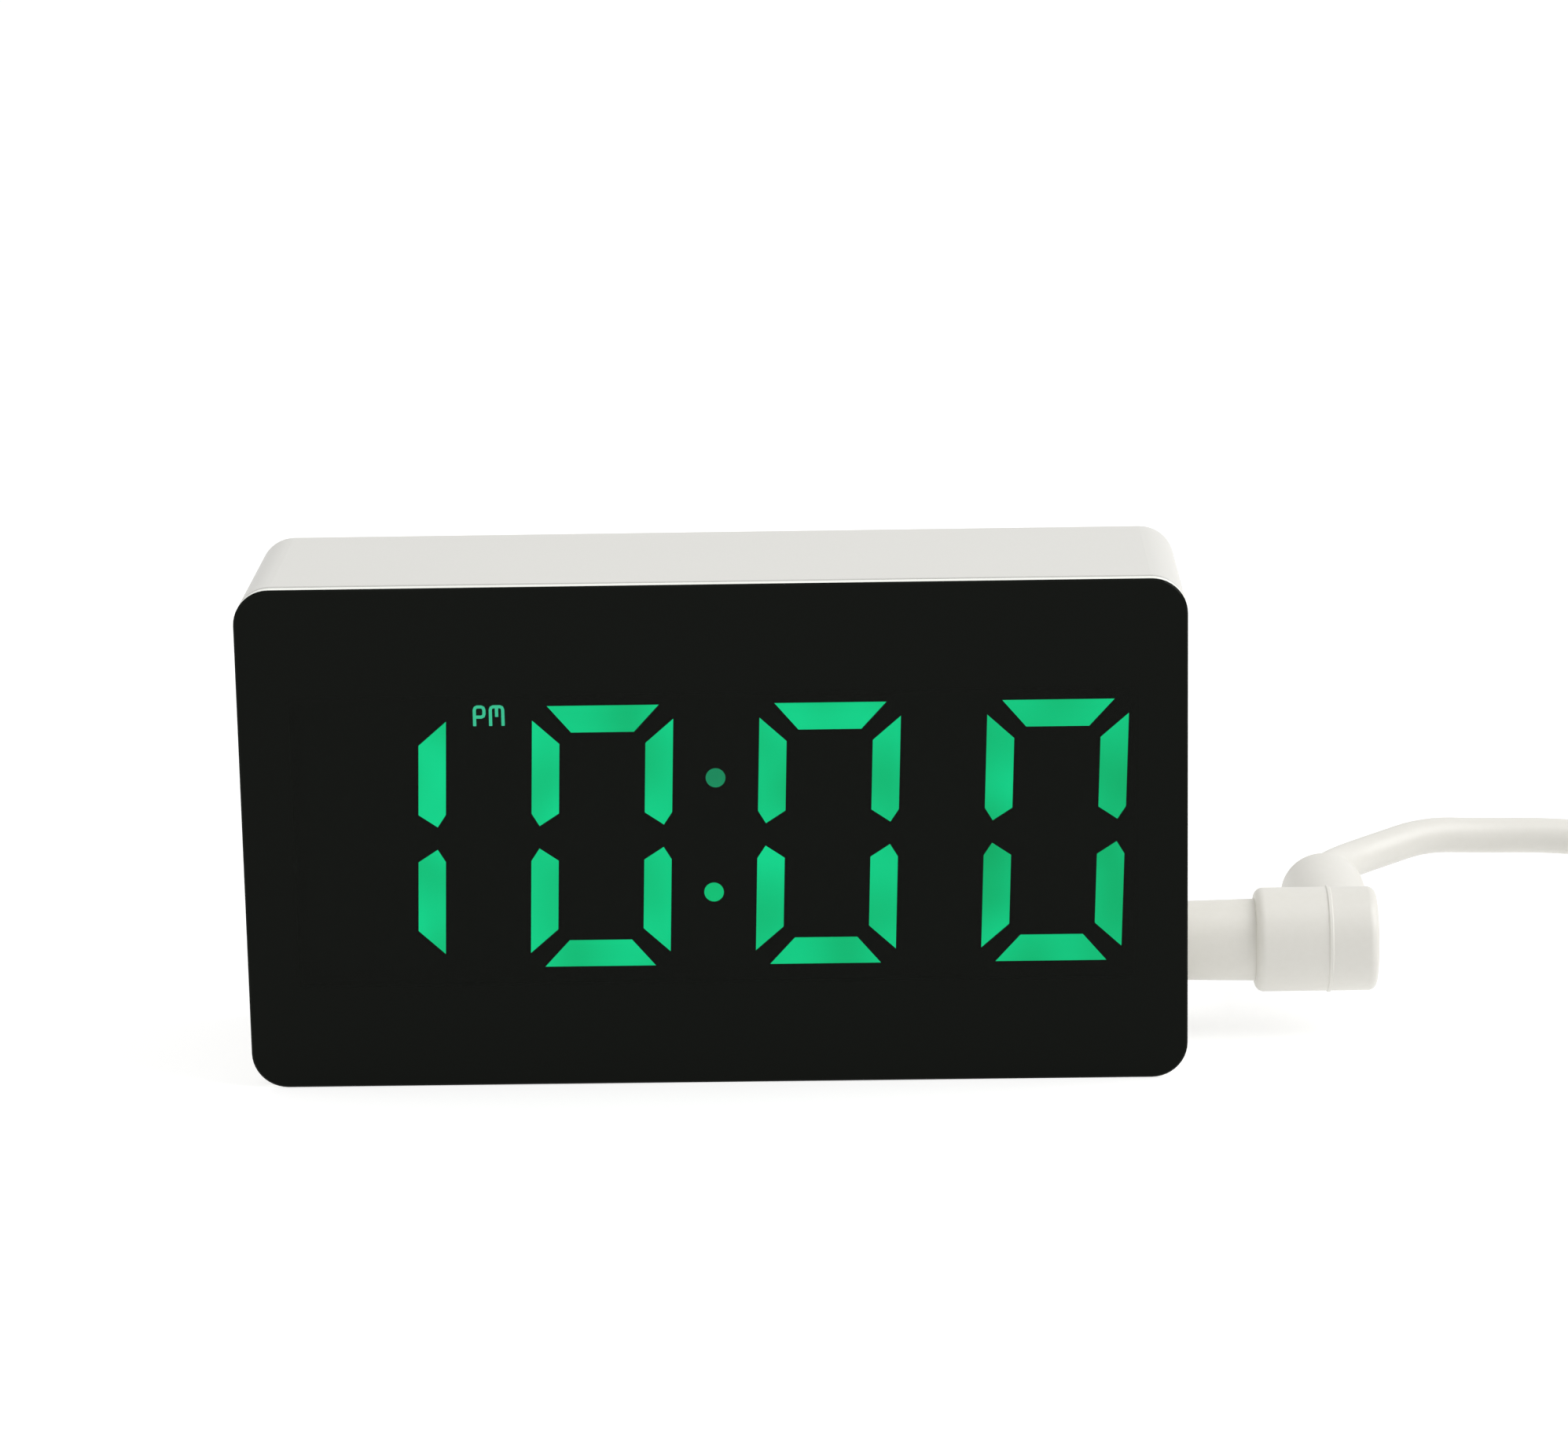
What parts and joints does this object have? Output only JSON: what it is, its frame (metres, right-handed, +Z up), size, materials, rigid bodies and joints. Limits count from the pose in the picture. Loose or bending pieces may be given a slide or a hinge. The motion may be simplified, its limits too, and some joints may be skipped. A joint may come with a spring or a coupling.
{
  "type": "mirror alarm clock",
  "caption": "Low rectangular desk alarm clock with a smoked mirror front, green light digits, rear push buttons, battery door and a right-angle power plug on a coiled USB lead.",
  "frame": {"origin": "on the floor under the middle of the clock's case", "axes": "+Z up, +X to the right seen from the front, the mirror face looks along -Y"},
  "size_m": [0.2887, 0.0716, 0.06],
  "materials": {
    "smoked_mirror": "glossy smoked sheet with a half-mirror rear face",
    "black_tape": "matt foam tape",
    "white_abs": "satin moulded white",
    "reflector_black": "white plastic printed black on its face",
    "lit_resin": "milky resin, lit green",
    "dark_resin": "milky resin, unlit",
    "chip_phosphor": "milky lens",
    "board_green": "solder mask on glass laminate",
    "zinc_steel": "zinc plated",
    "chip_black": "moulded black",
    "nickel_steel": "nickel plated",
    "can_aluminium": "bare drawn can",
    "header_brass": "plated pins in a moulded base",
    "cell_jacket": "printed steel jacket without text",
    "white_pvc": "soft satin white",
    "plug_plating": "bright nickel plating",
    "tie_black": "soft black strip",
    "tongue_white": "moulded insulator",
    "contact_gold": "gold flash"
  },
  "bodies": {
    "case": {"front_panel": "smoked_mirror", "panel_tape": "black_tape", "housing": "white_abs", "rear_cover": "white_abs", "display_reflector": "reflector_black", "colon_dots": "lit_resin", "legend_window": "lit_resin", "light_chips": "chip_phosphor", "main_board": "board_green", "key_board": "board_green", "board_screws": "zinc_steel", "key_board_screws": "zinc_steel", "cover_screws": "zinc_steel", "controller_chip": "chip_black", "timing_crystal": "nickel_steel", "smoothing_capacitor": "can_aluminium", "buzzer": "chip_black", "power_socket": "chip_black", "board_header": "header_brass", "key_switches": "chip_black", "battery_cells": "cell_jacket", "battery_contacts": "nickel_steel", "battery_springs": "nickel_steel", "hour_tens_lit": "lit_resin", "hour_tens_dark": "dark_resin", "hour_units_lit": "lit_resin", "hour_units_dark": "dark_resin", "minute_tens_lit": "lit_resin", "minute_tens_dark": "dark_resin", "minute_units_lit": "lit_resin", "minute_units_dark": "dark_resin"},
    "battery_door": {"battery_door": "white_abs"},
    "lead": {"plug_overmould": "white_pvc", "plug_barrel": "plug_plating", "power_lead": "white_pvc", "lead_coil": "white_pvc", "lead_tail": "white_pvc", "lead_tie": "tie_black", "usb_overmould": "white_pvc", "usb_shell": "plug_plating", "usb_tongue": "tongue_white", "usb_contacts": "contact_gold"},
    "mode_button": {"mode_button": "white_abs", "mode_plunger": "chip_black"},
    "set_button": {"set_button": "white_abs", "set_plunger": "chip_black"},
    "up_button": {"up_button": "white_abs", "up_plunger": "chip_black"},
    "down_button": {"down_button": "white_abs", "down_plunger": "chip_black"}
  },
  "joints": [
    {"name": "battery_door_swing", "type": "hinge", "parent": "case", "child": "battery_door", "pos_m": [0, 0.015, 0.00465], "axis": [-1, 0, 0], "range_deg": [0, 45]},
    {"name": "power_plug_pull", "type": "slide", "parent": "case", "child": "lead", "axis": [1, 0, 0], "range_m": [0, 0.012]},
    {"name": "mode_press", "type": "slide", "parent": "case", "child": "mode_button", "axis": [0, -1, 0], "range_m": [0, 0.0005], "stiffness_N_per_m": 1200},
    {"name": "set_press", "type": "slide", "parent": "case", "child": "set_button", "axis": [0, -1, 0], "range_m": [0, 0.0005], "stiffness_N_per_m": 1200},
    {"name": "up_press", "type": "slide", "parent": "case", "child": "up_button", "axis": [0, -1, 0], "range_m": [0, 0.0005], "stiffness_N_per_m": 1200},
    {"name": "down_press", "type": "slide", "parent": "case", "child": "down_button", "axis": [0, -1, 0], "range_m": [0, 0.0005], "stiffness_N_per_m": 1200}
  ]
}
